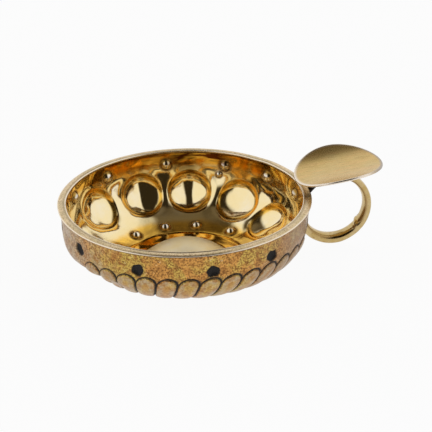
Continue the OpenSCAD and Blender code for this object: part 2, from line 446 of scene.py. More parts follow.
def gadroon_push(line, azimuths, groove_depth):
    """Outward push of the gadroons and their grooves, and masks of groove, worn edge with a painted
    highlight, and middle.
    """
    inside, half, across, shows = tongues(line, azimuths)
    t = np.clip(inside / half, 0, 1)
    pillow = LOBE_RISE * np.sqrt(1 - (1 - t) ** 2)
    bold = smooth_step(*GROOVE_BOLD_TURN, turn_from(azimuths, math.degrees(LOBE_MID)))
    width = GROOVE_W + bold * (GROOVE_BOLDER + GROOVE_BOLDER_SIDE * smooth_step(0.3, 0.9, across))
    groove = hump(0, width, inside)
    middle = smooth_step(0.45, 0.95, t)
    # the band along each gadroon's edge is paler partly from wear and partly as a painted highlight
    rubbed_and_highlight = smooth_step(0.05, 0.25, t) * (1 - 0.8 * middle)
    return (pillow - groove_depth * groove) * shows, groove * shows, rubbed_and_highlight * shows, middle * shows


def left_side(line, azimuths):
    """Outward push of the wall opposite the ring, which is fuller at the hip and flatter below it."""
    dips = np.degrees(-np.arcsin(outward(line)[:, 1:]))
    at_hip = hump(LEFT_FULL_DIP, LEFT_FULL_TALL, dips)
    full = at_hip * hump(0, LEFT_SPREAD, turn_from(azimuths, LEFT_FULL_AZ))
    below = smooth_step(*LEFT_FLAT_TOP, dips) * (1 - smooth_step(*LEFT_FLAT_FOOT, dips))
    flat = below * hump(0, LEFT_SPREAD, turn_from(azimuths, LEFT_FLAT_AZ))
    return (LEFT_FULL * full - LEFT_FLAT * flat) * smooth_step(BASE_R, BASE_R + 4, line[:, :1])


def back_lean(line, azimuths):
    """Inward push of the inner wall at the back, between the hollows and above the moat."""
    tall = hump(LEAN_Z, LEAN_TALL, line[:, 1:]) * smooth_step(BASE_R, BASE_R + 8, line[:, :1])
    return LEAN * tall * hump(0, LEAN_SPREAD, turn_from(azimuths, LEAN_AZ))


def unevenness(points, height, shortest, seed):
    """The gentle waves of metal worked by hand, up to about a height either way."""
    chance = np.random.default_rng(seed)
    waves = np.zeros(points.shape[:2])
    for _ in range(WAVE_COUNT):
        k = chance.normal(size=3)
        k *= TURN / (shortest * chance.uniform(1, 3)) / np.linalg.norm(k)
        waves += np.sin(points @ k + chance.uniform(0, TURN))
    return height * waves / math.sqrt(WAVE_COUNT)


# Meshes


def grid_faces(rows, columns, first, flip=False):
    """Quads between neighbouring rows of a grid that closes on itself along its columns."""
    i, j = np.meshgrid(np.arange(rows - 1), np.arange(columns), indexing="ij")
    k = (j + 1) % columns
    low, high = i * columns, (i + 1) * columns
    quads = np.stack([low + j, low + k, high + k, high + j], axis=-1).reshape(-1, 4) + first
    return quads[:, ::-1] if flip else quads


def make_piece(name, points, faces, replaces, materials, face_material=None, masks=None):
    """A mesh piece in metres that rides on the body and stands for a CAD node."""
    mesh = bpy.data.meshes.new(name)
    mesh.from_pydata((np.asarray(points) * MM).tolist(), [], [list(map(int, f)) for f in faces])
    for material in materials:
        mesh.materials.append(material)
    if face_material is not None:
        mesh.polygons.foreach_set("material_index", np.asarray(face_material, dtype=np.int32))
    for mask, values in (masks or {}).items():
        layer = mesh.attributes.new(mask, "FLOAT", "POINT")
        layer.data.foreach_set("value", np.asarray(values, dtype=np.float32))
    mesh.polygons.foreach_set("use_smooth", np.ones(len(mesh.polygons), dtype=bool))
    mesh.validate()
    mesh.update()
    piece = bpy.data.objects.new(name, mesh)
    bpy.context.scene.collection.objects.link(piece)
    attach(piece, "root")
    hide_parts(replaces)
    return piece


def inside_waves(points, line, hollow):
    """Unevenness of the inside off the dome, with more along the band and in the hollows."""
    band = smooth_step(HIP_Z - 3, HIP_Z + 1, line[:, 1:])
    waves = unevenness(points, *INSIDE_BROAD) + unevenness(points, *INSIDE_FINE)
    waves = waves + band * unevenness(points * BAND_STRETCH, *INSIDE_BAND)
    waves = waves + smooth_step(0.3, 1.2, hollow) * unevenness(points, *INSIDE_HOLLOWS)
    return waves * smooth_step(DOME_R - 1, DOME_R + 3, line[:, :1])


def inside_masks(line, azimuths, side, bumps, dirt_and_shade):
    """Masks of the inside: soiling round the pearls' feet with a painted shade line under the lip, gilding
    that is left (paler on the slope from wear and a painted sheen), satin and brown stain.
    """
    r, z = line[:, :1], line[:, 1:]
    everywhere = np.ones_like(side)
    on_dome = (1 - smooth_step(DOME_R - 0.6, DOME_R + 0.7, r)) * everywhere
    on_band = smooth_step(HIP_Z - 0.5, HIP_Z + 2.5, z)
    # the slope and the web between the cupules are paler partly from wear and partly as a painted sheen; the
    # cupules' sides are kept out
    on_slope = smooth_step(BASE_R + 3, BASE_R + 9, r) * (1 - on_band) * (1 - side)
    on_pearl = smooth_step(0.5, 1.1, bumps)
    in_moat = smooth_step(DOME_R + 0.5, DOME_R + 2, r) * (1 - smooth_step(BASE_R + 2, BASE_R + 7, r))
    at_back = hump(0, BACK_STAIN_SPREAD, turn_from(azimuths, BACK_STAIN_AZ))
    under_lip = smooth_step(WALL_TOP - 2.8, WALL_TOP - 0.2, z)
    stain = np.maximum(at_back * smooth_step(HIP_Z - 1.5, HIP_Z + 2.5, z), LIP_STAIN * under_lip)
    stain = np.maximum(stain, BAND_STAIN * on_band + MOAT_STAIN * in_moat)
    return {
        # painted shade: a dark line along the inner wall just under the lip's overhang, added to the soiling
        # round the pearls
        "dirt_and_shade": np.maximum(dirt_and_shade, smooth_step(WALL_TOP - 0.7, WALL_TOP - 0.1, z)),
        "gilt": np.clip(1 - DOME_WEAR * on_dome - SLOPE_WEAR_AND_SHEEN * on_slope - PEARL_WEAR * on_pearl, 0, 1),
        "satin": on_dome + SIDE_SATIN * side,
        "stain": stain * everywhere,
    }


def inside_of_bowl(azimuths):
    """Points of the polished inside, and its masks."""
    line = half_section(-SHEET)
    points = spun(line, azimuths)
    out = spun(outward(line), azimuths)
    hollow, side = cupule_push(points, -SHEET)
    lobes, _, _, _ = gadroon_push(line, azimuths, GROOVE_DEPTH_INSIDE)
    bumps, dirt_and_shade = pearl_push(points, out)
    push = hollow + LOBE_SHARE_INSIDE * lobes - bumps - back_lean(line, azimuths)
    push = push + inside_waves(points, line, hollow) + LEFT_INSIDE * left_side(line, azimuths)
    return points + out * push[..., None], inside_masks(line, azimuths, side, bumps, dirt_and_shade)


def outside_masks(line, azimuths, groove, rubbed_and_highlight, middle, black):
    """Masks of the outside: soiling in the grooves and pits with a painted shadow under the lip, gilding
    that is left (paler on the gadroons' edges from wear and a painted highlight), satin and brown stain.
    """
    everywhere = np.ones_like(groove)
    turned = turn_from(azimuths, GILT_AZ)
    ends = RIGHT_WEAR * smooth_step(20, 60, turned) + LEFT_WEAR * smooth_step(-20, -60, turned)
    under_lip = smooth_step(WALL_TOP - 0.5, WALL_TOP - 0.1, line[:, 1:])
    return {
        # painted shadow: a dark band on the outer wall just under the lip, added to the soiling in the
        # grooves and pits
        "dirt_and_shade": np.maximum(np.maximum(groove, black), LIP_EDGE_SHADOW * under_lip),
        # paler gadroon edges: wear together with a painted highlight
        "gilt": np.clip(1 - ends - EDGE_WEAR_AND_HIGHLIGHT * rubbed_and_highlight, 0, 1) * everywhere,
        "satin": (EDGE_SATIN * rubbed_and_highlight + middle) * everywhere,
        "stain": smooth_step(25, 65, turned) * everywhere,
    }


def outside_of_bowl(azimuths):
    """Points of the worn outside, and its masks."""
    line = half_section(0.0)
    points = spun(line, azimuths)
    out = spun(outward(line), azimuths)
    hollow, _ = cupule_push(points, 0.0)
    lobes, groove, rubbed_and_highlight, middle = gadroon_push(line, azimuths, GROOVE_DEPTH)
    pits, black = pit_push(points)
    off_foot = smooth_step(BASE_R, BASE_R + 8, line[:, :1])
    waves = (unevenness(points, *OUTSIDE_BROAD) + unevenness(points, *OUTSIDE_FINE)) * off_foot
    flare = FLARE * smooth_step(HIP_Z, WALL_TOP, line[:, 1:])
    push = hollow + lobes - pits + waves + flare + left_side(line, azimuths)
    return points + out * push[..., None], outside_masks(line, azimuths, groove, rubbed_and_highlight, middle, black)


def make_bowl():
    """One closed skin: the inside, the edge under the lip and the outside."""
    azimuths = np.arange(AROUND) * TURN / AROUND
    inner, inner_masks = inside_of_bowl(azimuths)
    outer, outer_masks = outside_of_bowl(azimuths)
    poles = [inner[0, 0], outer[0, 0]]
    inner, outer = inner[1:], outer[1:]
    rows_in, rows_out = len(inner), len(outer)
    count_in, count_out = rows_in * AROUND, rows_out * AROUND
    points = np.vstack([inner.reshape(-1, 3), outer.reshape(-1, 3), poles])
    ring = np.arange(AROUND)
    onward = (ring + 1) % AROUND
    pole_in, pole_out = count_in + count_out, count_in + count_out + 1
    fan_in = np.stack([np.full(AROUND, pole_in), ring, onward], axis=1)
    fan_out = np.stack([np.full(AROUND, pole_out), count_in + onward, count_in + ring], axis=1)
    top_in, top_out = count_in - AROUND, count_in + count_out - AROUND
    edge = np.stack([top_in + ring, top_in + onward, top_out + onward, top_out + ring], axis=1)
    quads_in = grid_faces(rows_in, AROUND, 0, flip=True)
    quads_out = grid_faces(rows_out, AROUND, count_in)
    faces = [*quads_in, *fan_in, *quads_out, *fan_out, *edge]
    inside_faces = len(quads_in) + len(fan_in)
    face_material = np.r_[np.zeros(inside_faces), np.ones(len(faces) - inside_faces)]
    masks = {}
    for name, values in inner_masks.items():
        other = outer_masks[name]
        masks[name] = np.r_[values[1:].ravel(), other[1:].ravel(), values[0, 0], other[0, 0]]
    materials = [polished_gilt(), worn_gilt()]
    return make_piece("bowl_skin", points, faces, "bowl", materials, face_material, masks)


def curved(r, z, radius, start, end):
    """Points of an arc between two angles in degrees."""
    angles = np.radians(np.linspace(start, end, 7))
    return [(r + radius * math.cos(a), z + radius * math.sin(a)) for a in angles]


def lip_section():
    """Outline of the lip: a thin outer rim, a crown, and a bead along the inner edge behind a groove."""
    groove_z = LIP_TOP - LIP_GROOVE
    shares = np.linspace(0.95, 0.05, 15)
    crown_r = np.linspace(LIP_R - LIP_RIM - 0.1, LIP_GROOVE_R + 0.1, 15)
    crown_z = groove_z + LIP_GROOVE * np.sin(math.pi * shares) ** 0.7 - LIP_FALL * shares
    section = [(WALL_R + FLARE, WALL_TOP)]
    section += curved(LIP_R - LIP_RIM, groove_z - LIP_FALL - LIP_RIM, LIP_RIM, -80, 75)
    section += zip(crown_r, crown_z)
    section += curved(LIP_INNER_R + LIP_BEAD, LIP_TOP - LIP_BEAD, LIP_BEAD, 30, 180)
    section += [(LIP_INNER_R + 0.1, WALL_TOP)]
    return np.array(section)


def make_lip():
    """The lip's outline turned round the axis, a little uneven from filing."""
    section = lip_section()
    r, z = section[:, :1], section[:, 1:]
    points = spun(section, np.arange(LIP_AROUND) * TURN / LIP_AROUND)
    upper = smooth_step(WALL_TOP + 0.2, LIP_TOP, z)
    points[..., 2] += unevenness(points, *LIP_TOP_WAVES) * upper
    points[..., :2] *= 1 + (unevenness(points, *LIP_WIDTH_WAVES) / LIP_R)[..., None]
    faces = grid_faces(len(section) + 1, LIP_AROUND, 0, flip=True) % (len(section) * LIP_AROUND)
    # a darker line along the groove, and painted shade on the lip's underside where it meets the wall
    groove_and_shade = LIP_GROOVE_DARKENING * hump(LIP_GROOVE_R + 0.2, 0.35, r) * upper
    groove_and_shade += smooth_step(WALL_TOP + 0.2, WALL_TOP, z)
    # paler inner bead and outer rim: rubbing wear with a painted highlight
    wear_and_highlight = smooth_step(LIP_INNER_R + 2 * LIP_BEAD, LIP_INNER_R + LIP_BEAD, r)
    wear_and_highlight += smooth_step(LIP_R - 0.4, LIP_R - 0.1, r)
    masks = {"dirt_and_shade": np.repeat(groove_and_shade, LIP_AROUND), "wear_and_highlight": np.repeat(wear_and_highlight, LIP_AROUND)}
    spots = points.reshape(-1, 3)
    return make_piece("lip", spots, faces, "rim_lip", [rubbed_lip()], None, masks)


def wall_distance(point):
    """Signed distance of a point outside the plain wall."""
    r, z = math.hypot(point[0], point[1]), point[2]
    if z > HIP_Z:
        return r - WALL_R
    return math.hypot(r - HIP_C[0], z - HIP_C[1]) - HIP_R


def ring_section():
    """Points round the strip: share of the way out from the hole, and place across."""
    section = []
    for t in np.arange(RING_AROUND) * TURN / RING_AROUND:
        c, s = math.cos(t), math.sin(t)
        across = math.copysign(abs(c) ** (2 / RING_POWER), c)
        share = math.copysign(abs(s) ** (2 / RING_POWER), s)
        section.append((0.5 + 0.5 * share, across * RING_W / 2))
    return section


def ring_point(share, y, angle):
    """A point of the strip between the hole, whose centre is higher, and the outside."""
    up = RING_TAPER * math.sin(angle)
    hole = up + math.sqrt(RING_RI**2 - RING_TAPER**2 + up**2)
    reach = hole + share * (RING_RO - hole)
    return np.array([RING_X + reach * math.cos(angle), y, RING_Z + reach * math.sin(angle)])


def end_angle(share, y, clear, inside):
    """The angle, between one clear of the wall and one inside it, at which a fibre is just sunk in it."""
    clear, inside = math.radians(clear), math.radians(inside)
    for _ in range(40):
        middle = (clear + inside) / 2
        if wall_distance(ring_point(share, y, middle)) > -RING_SINK:
            clear = middle
        else:
            inside = middle
    return clear


def make_ring():
    """A rounded strip bent into a ring, whose ends enter the wall, with a scarfed seam on its inner face."""
    fibres, angles = [], []
    section = ring_section()
    for share, y in section:
        upper = end_angle(share, y, *RING_UPPER_END)
        lower = end_angle(share, y, *RING_LOWER_END)
        sweep = np.linspace(lower, upper, RING_STEPS)
        on_seam = hump(RING_SEAM + RING_SEAM_SLANT * y, RING_SEAM_WIDTH, np.degrees(sweep))
        seam = RING_SEAM_RISE * on_seam * (1 - share)
        fibres.append([ring_point(share - s / RING_T, y, a) for a, s in zip(sweep, seam)])
        angles.append(np.degrees(sweep))
    points = np.array(fibres).transpose(1, 0, 2)
    angles = np.array(angles).T
    points = points + unevenness(points, *RING_WAVES)[..., None]
    shares = np.array([share for share, _ in section])
    sides = np.array([abs(y) for _, y in section]) / (RING_W / 2)
    # painted reflection: a dark line along the inner corners stands for the bowl's wall mirrored there
    corner = hump(RING_CORNER_AT, RING_CORNER_WIDTH, shares) * smooth_step(0.7, 0.95, sides)
    masks = {
        "painted_reflection": (corner + 0 * angles).ravel(),
        # painted shadow: the upper end under the thumb rest darkens to near black, with some sooty
        # blackening
        "dirt_and_shade": smooth_step(*RING_SHADE_AND_SOOT, angles).ravel(),
    }
    faces = [list(f) for f in grid_faces(RING_STEPS, RING_AROUND, 0)]
    faces.append(list(range(RING_AROUND))[::-1])
    faces.append([(RING_STEPS - 1) * RING_AROUND + j for j in range(RING_AROUND)])
    spots = points.reshape(-1, 3)
    return make_piece("finger_ring", spots, faces, "ring_handle", [ring_metal()], None, masks)


def rest_to_object(points):
    """Carries points from the thumb rest's own frame, on its upper surface, to the object's."""
    x, y, z = points[..., 0] + REST_OUT, points[..., 1], points[..., 2] + REST_T
    c, s = math.cos(REST_TILT), math.sin(REST_TILT)
    seat_z = RING_Z + RING_RO - SEAT_CUT
    return np.stack([RING_X + c * x - s * z, y, seat_z + s * x + c * z], axis=-1)


def make_rest():
    """A round plate bent into a trough, with rounded edges."""
    dish_r = (REST_WIDE**2 + REST_DISH**2) / (2 * REST_DISH)
    rim = np.radians(np.linspace(90, -90, 9))[1:-1]
    face = np.linspace(0, 1 - REST_EDGE, REST_ROWS)[1:]
    radii = np.r_[face, 1 - REST_EDGE + REST_EDGE * np.cos(rim), face[::-1]]
    half_t = REST_T / 2
    lift = np.r_[np.full(len(face), half_t), half_t * np.sin(rim), np.full(len(face), -half_t)]
    azimuths = np.arange(REST_AROUND) * TURN / REST_AROUND
    fuller = 1 + REST_FULLER * hump(0, REST_FULLER_SPREAD, turn_from(azimuths, REST_FULLER_AZ))
    x = REST_LONG * radii[:, None] * fuller * np.cos(azimuths)
    y = REST_WIDE * radii[:, None] * fuller * np.sin(azimuths)
    bend = y / dish_r
    reach = dish_r - (lift[:, None] - half_t)
    wave = unevenness(np.stack([x, y, 0 * x], axis=-1), *REST_WAVES)
    curl = REST_CURL * np.maximum(y / REST_WIDE, 0) ** 4
    points = np.stack([x, reach * np.sin(bend), dish_r - reach * np.cos(bend) + wave + curl], axis=-1)
    poles = np.array([[0, 0, wave[0, 0]], [0, 0, -REST_T + wave[0, 0]]])
    rows, columns = points.shape[:2]
    all_points = np.vstack([points.reshape(-1, 3), poles])
    ring = np.arange(columns)
    onward = (ring + 1) % columns
    last = (rows - 1) * columns
    faces = [*grid_faces(rows, columns, 0, flip=True)]
    faces += [*np.stack([np.full(columns, rows * columns), ring, onward], axis=1)]
    faces += [*np.stack([np.full(columns, rows * columns + 1), last + onward, last + ring], axis=1)]
    edge = smooth_step(0.92, 0.98, radii)[:, None]
    outer_end = smooth_step(0.4, 0.8, np.cos(azimuths))
    masks = {
        # the edge is paler partly from wear and partly as a painted highlight, and greyer at the outer end
        "worn": np.r_[(edge * (1 - outer_end)).ravel(), 0, 0],
        "grey": np.r_[(edge * outer_end).ravel(), 0, 0],
    }
    spots = rest_to_object(all_points)
    return make_piece("thumb_plate", spots, faces, "thumb_rest", [satin_plate()], None, masks)


# Materials


class Nodes:
    """A material's node tree, built from the shader back."""

    def __init__(self, name):
        """Starts a material with a shader and a place in the piece's own frame."""
        self.material = bpy.data.materials.new(name)
        self.material.use_nodes = True
        self.tree = self.material.node_tree
        self.tree.nodes.clear()
        self.shader = self.add("ShaderNodeBsdfPrincipled")
        self.end = self.add("ShaderNodeOutputMaterial")
        self.tree.links.new(self.shader.outputs[0], self.end.inputs[0])
        self.place = self.add("ShaderNodeTexCoord").outputs["Object"]

    def add(self, kind, **settings):
        """A new node with some of its settings."""
        node = self.tree.nodes.new(kind)
        for key, value in settings.items():
            setattr(node, key, value)
        return node

    def feed(self, socket, value):
        """Links a socket to another one, or sets it to a constant."""
        if isinstance(value, bpy.types.NodeSocket):
            self.tree.links.new(value, socket)
        else:
            socket.default_value = value

    def set(self, **values):
        """Sets the shader's sockets, with underscores for the spaces in their names."""
        for key, value in values.items():
            self.feed(self.shader.inputs[key.replace("_", " ")], value)

    def noise(self, size, detail=4.0, roughness=0.55, stretch=(1, 1, 1), distortion=0.0):
        """Noise from 0 to 1 with grains of a size in millimetres."""
        mapping = self.add("ShaderNodeMapping")
        self.feed(mapping.inputs["Vector"], self.place)
        mapping.inputs["Scale"].default_value = [s / (size * MM) for s in stretch]
        noise = self.add("ShaderNodeTexNoise")
        self.feed(noise.inputs["Vector"], mapping.outputs[0])
        noise.inputs["Scale"].default_value = 1.0
        noise.inputs["Detail"].default_value = detail
        noise.inputs["Roughness"].default_value = roughness
        noise.inputs["Distortion"].default_value = distortion
        return noise.outputs["Fac"]

    def mask(self, name):
        """A mask stored on the mesh."""
        return self.add("ShaderNodeAttribute", attribute_name=name).outputs["Fac"]

    def ramp(self, value, low, high):
        """0 below low, 1 above high."""
        node = self.add("ShaderNodeMapRange", interpolation_type="SMOOTHSTEP")
        self.feed(node.inputs["Value"], value)
        node.inputs["From Min"].default_value = low
        node.inputs["From Max"].default_value = high
        return node.outputs[0]

    def span(self, value, low, high):
        """A value from 0 to 1 stretched to run from low to high."""
        node = self.add("ShaderNodeMapRange")
        self.feed(node.inputs["Value"], value)
        node.inputs["To Min"].default_value = low
        node.inputs["To Max"].default_value = high
        return node.outputs[0]

    def math(self, operation, a, b):
        """One step of arithmetic, kept between 0 and 1."""
        node = self.add("ShaderNodeMath", operation=operation, use_clamp=True)
        self.feed(node.inputs[0], a)
        self.feed(node.inputs[1], b)
        return node.outputs[0]

    def mix(self, share, a, b):
        """Colour a where share is 0 and colour b where it is 1."""
        node = self.add("ShaderNodeMix", data_type="RGBA")
        self.feed(node.inputs[0], share)
        self.feed(node.inputs[6], a if isinstance(a, bpy.types.NodeSocket) else (*a, 1))
        self.feed(node.inputs[7], b if isinstance(b, bpy.types.NodeSocket) else (*b, 1))
        return node.outputs[2]

    def bump(self, height, depth, strength=1.0, under=None):
        """A bump of a depth in millimetres, laid over another."""
        node = self.add("ShaderNodeBump")
        node.inputs["Strength"].default_value = strength
        node.inputs["Distance"].default_value = depth * MM
        self.feed(node.inputs["Height"], height)
        if under is not None:
            self.feed(node.inputs["Normal"], under)
        return node.outputs[0]


# Colours of the bowl's inside
DEEP_GOLD = (0.95, 0.56, 0.085)
PALE_GOLD = (0.90, 0.73, 0.39)
SILVER = (0.86, 0.80, 0.69)
# dark brown for soiling round the pearls and for the painted shade line under the lip
TARNISH_AND_SHADE = (0.16, 0.075, 0.02)
RED_BROWN = (0.13, 0.035, 0.006)

# Colours of its outside
ORANGE_GOLD = (0.69, 0.34, 0.09)
GREEN_GOLD = (0.67, 0.47, 0.11)
BARE_METAL = (0.50, 0.38, 0.23)
WARM_GLOW = (0.50, 0.28, 0.09)
COPPER_FLECK = (0.40, 0.18, 0.05)
CREAM_FLECK = (0.74, 0.57, 0.33)
GRAIN_BROWN = (0.21, 0.095, 0.03)
GREY_BROWN = (0.27, 0.17, 0.10)
# near black: soiling in grooves and pits, and painted shade under the lip and at the ring's upper end
SOOT_AND_SHADE = (0.014, 0.010, 0.008)

# Colours of the lip
LIP_DULL = (0.62, 0.49, 0.27)
LIP_WARM = (0.80, 0.62, 0.37)
LIP_AGED = (0.34, 0.22, 0.12)
# the pale bead and rim colour is partly a painted highlight; the dark colour paints the groove line and the
# shade under the lip
LIP_PALE_AND_HIGHLIGHT = (0.88, 0.76, 0.60)
LIP_DARK_AND_SHADE = (0.20, 0.15, 0.07)

# Colours of the ring, the thumb rest and the solder
RING_GOLD = (0.50, 0.35, 0.13)
RING_PALE = (0.58, 0.44, 0.22)
RING_BROWN = (0.27, 0.15, 0.05)
REST_GOLD = (0.65, 0.455, 0.165)
REST_PALE = (0.63, 0.47, 0.2)
REST_WARM = (0.70, 0.47, 0.19)
REST_SCRATCH = (0.50, 0.34, 0.13)
# pale edge colour: wear with a painted highlight
REST_WORN_AND_HIGHLIGHT = (0.82, 0.72, 0.60)
REST_GREY = (0.40, 0.34, 0.28)
# the solder colours are painted near black for the shade in the crevices of the joints
SOLDER_DARK = (0.02, 0.012, 0.008)
SOLDER_PALE = (0.20, 0.13, 0.07)


def polished_gilt():
    """Bright gilding inside the bowl, deep in the corners, worn pale by rubbing on the dome and the slope,
    the slope's paleness partly a painted sheen, with a painted shade line under the lip.
    """
    n = Nodes("polished_gilt")
    cloud = n.noise(9, detail=5, roughness=0.6)
    speck = n.noise(0.8, detail=3, roughness=0.6)
    gilt = n.math("ADD", n.mask("gilt"), n.span(cloud, -0.35, 0.35))
    pale = n.mix(n.ramp(gilt, 0.0, 0.5), SILVER, PALE_GOLD)
    base = n.mix(n.ramp(gilt, 0.5, 1.0), pale, DEEP_GOLD)
    streak = n.noise(3.5, detail=5, roughness=0.6, stretch=(0.3, 0.3, 1.6), distortion=0.8)
    stain = n.math("MULTIPLY", n.mask("stain"), n.span(n.ramp(streak, 0.38, 0.62), -0.15, 1.5))
    # the dark mask brings soiling round the pearls and the painted shade line under the lip
    dirt_and_shade = n.math("MULTIPLY", n.mask("dirt_and_shade"), n.span(speck, 0.5, 1.1))
    satin = n.math("MULTIPLY", n.mask("satin"), 0.46)
    rough = n.math("ADD", n.span(cloud, 0.04, 0.14), satin)
    n.set(Base_Color=n.mix(dirt_and_shade, n.mix(stain, base, RED_BROWN), TARNISH_AND_SHADE), Metallic=1.0)
    n.set(Roughness=n.math("ADD", rough, n.math("MULTIPLY", n.mask("dirt_and_shade"), 0.3)))
    dents = n.bump(n.noise(4, detail=2, roughness=0.5), 0.15, strength=0.2)
    n.set(Normal=n.bump(speck, 0.02, strength=0.25, under=dents))
    return n.material


def worn_gilt():
    """Dull, mottled gilding outside the bowl, grainy from hammering, black in the pits and the grooves, with
    a painted shadow under the lip and paler gadroon edges from wear and a painted highlight.
    """
    n = Nodes("worn_gilt")
    cloud = n.noise(10, detail=4, roughness=0.6, distortion=0.6)
    patch = n.noise(4.5, detail=6, roughness=0.66, distortion=0.6)
    grain = n.noise(0.6, detail=3, roughness=0.6)
    fleck = n.noise(2.0, detail=5, roughness=0.7)
    warm = n.mix(n.ramp(cloud, 0.42, 0.58), ORANGE_GOLD, GREEN_GOLD)
    gilt = n.math("ADD", n.mask("gilt"), n.span(patch, -0.9, 0.6))
    worn = n.mix(n.ramp(gilt, 0.1, 0.75), BARE_METAL, warm)
    glowing = n.mix(n.span(n.ramp(n.mask("satin"), 0.4, 1.0), 0.0, 0.7), worn, WARM_GLOW)
    toned = n.mix(n.ramp(fleck, 0.44, 0.68), glowing, COPPER_FLECK)
    creamy = n.mix(n.ramp(fleck, 0.41, 0.28), toned, CREAM_FLECK)
    share = n.span(n.ramp(n.mask("satin"), 0.05, 0.35), 1.0, 0.4)
    dark = n.math("MULTIPLY", n.math("MULTIPLY", n.ramp(grain, 0.43, 0.60), n.span(patch, 0.0, 1.7)), share)
    grained = n.mix(dark, creamy, GRAIN_BROWN)
    brown = n.mix(n.math("MULTIPLY", n.mask("stain"), n.span(patch, 0.2, 0.8)), grained, GREY_BROWN)
    # the dark mask blackens the grooves and pits and paints the shadow under the lip
    soot_and_shade = n.math("MULTIPLY", n.mask("dirt_and_shade"), n.span(grain, 0.8, 1.6))
    n.set(Base_Color=n.mix(soot_and_shade, brown, SOOT_AND_SHADE), Metallic=n.span(soot_and_shade, 1.0, 0.2))
    n.set(Roughness=n.math("ADD", n.span(patch, 0.24, 0.44), n.math("MULTIPLY", soot_and_shade, 0.3)))
    dents = n.bump(patch, 0.12, strength=0.4)
    n.set(Normal=n.bump(grain, 0.08, strength=0.5, under=dents))
    return n.material


def rubbed_lip():
    """The lip, worn to a warm silver by rubbing with cloths and lips, with a painted highlight on its inner
    bead and outer rim, painted shade on its underside and a darker line along its groove.
    """
    n = Nodes("rubbed_lip")
    cloud = n.noise(7, detail=5, roughness=0.65)
    grain = n.noise(0.5, detail=4, roughness=0.6)
    base = n.mix(n.ramp(cloud, 0.40, 0.60), LIP_DULL, LIP_WARM)
    aged = n.mix(n.ramp(grain, 0.44, 0.70), base, LIP_AGED)
    # pale bead and rim: wear with a painted highlight
    rubbed_and_highlight = n.mix(n.mask("wear_and_highlight"), aged, LIP_PALE_AND_HIGHLIGHT)
    # darker groove line and painted shade on the underside
    n.set(Base_Color=n.mix(n.mask("dirt_and_shade"), rubbed_and_highlight, LIP_DARK_AND_SHADE), Metallic=1.0)
    n.set(Roughness=n.span(cloud, 0.2, 0.36), Normal=n.bump(grain, 0.03, strength=0.4))
    return n.material


def ring_metal():
    """The finger ring, polished by use with brown tarnishing in patches, a painted dark reflection of the
    bowl along its inner corners, and a painted shadow with sooty blackening at its upper end.
    """
    n = Nodes("ring_metal")
    cloud = n.noise(5, detail=5, roughness=0.6)
    grain = n.noise(0.6, detail=4, roughness=0.6)
    base = n.mix(n.ramp(cloud, 0.35, 0.65), RING_GOLD, RING_PALE)
    # brown tarnishing in patches, and the painted dark reflection line on the inner corners
    brown = n.math("MAXIMUM", n.ramp(grain, 0.54, 0.75), n.mask("painted_reflection"))
    aged = n.mix(brown, base, RING_BROWN)
    # near black at the upper end: painted shadow under the thumb rest with sooty blackening
    n.set(Base_Color=n.mix(n.mask("dirt_and_shade"), aged, SOOT_AND_SHADE), Metallic=1.0)
    n.set(Roughness=n.span(cloud, 0.12, 0.26), Normal=n.bump(grain, 0.03, strength=0.4))
    return n.material


def satin_plate():
    """The thumb rest, satin from fine lengthwise scratches, with a pale worn edge that is partly a painted
    highlight.
    """
    n = Nodes("satin_plate")
    cloud = n.noise(8, detail=5, roughness=0.6)
    brush = n.noise(0.35, detail=4, roughness=0.6, stretch=(0.02, 1, 1))
    base = n.mix(n.ramp(cloud, 0.3, 0.7), REST_GOLD, REST_PALE)
    broad = n.noise(1.2, detail=3, roughness=0.6, stretch=(0.03, 1, 1))
    tinted = n.mix(n.ramp(broad, 0.45, 0.65), base, REST_WARM)
    lined = n.mix(n.ramp(brush, 0.50, 0.72), tinted, REST_SCRATCH)
    # pale edge: wear with a painted highlight
    edged = n.mix(n.mask("worn"), lined, REST_WORN_AND_HIGHLIGHT)
    n.set(Base_Color=n.mix(n.mask("grey"), edged, REST_GREY), Metallic=1.0)
    n.set(Roughness=n.span(brush, 0.20, 0.32), Normal=n.bump(brush, 0.03, strength=0.45))
    return n.material


def dull_solder():
    """Hard solder, darker and rougher than the gilding, painted near black as the shade in the crevices of
    the joints.
    """
    n = Nodes("dull_solder")
    grain = n.noise(0.6, detail=5, roughness=0.65)
    n.set(Base_Color=n.mix(grain, SOLDER_DARK, SOLDER_PALE), Metallic=1.0)
    n.set(Roughness=n.span(grain, 0.3, 0.55), Normal=n.bump(grain, 0.06, strength=0.5))
    return n.material


def dress_solder():
    """The solder seams keep their CAD shape."""
    material = dull_solder()
    for node in ("ring_upper_solder", "ring_lower_solder", "thumb_rest_solder"):
        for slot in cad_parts[node].material_slots:
            slot.link = "OBJECT"
            slot.material = material


# Floor, light and camera


# The photograph's view, with its half width and focal length in its pixels
CAMERA_AZIMUTH = math.radians(-13)
CAMERA_ELEVATION = math.radians(25.728)
CAMERA_ROLL = math.radians(-0.988)
CAMERA_DISTANCE = 600.0
TARGET_RIGHT = 10.376
TARGET_Z = 17.177
HALF_PICTURE = 216
FOCAL_LENGTH = 1787.15
FIELD_OF_VIEW = 2 * math.atan(HALF_PICTURE / FOCAL_LENGTH)
CLIP_START = 10.0

# Floor, with the share of white glow that the camera and the reflections see
FLOOR_SIZE = 6000.0
FLOOR_COLOUR = (0.8, 0.8, 0.8, 1)
FLOOR_ROUGHNESS = 0.9
FLOOR_GLOW = 0.94

# Studio light: the dark level with its tint, and the level from which the light is white
DARK_LEVEL = 0.03
DARK_TINT = (1.0, 0.76, 0.42)
WHITE_LEVEL = 0.5
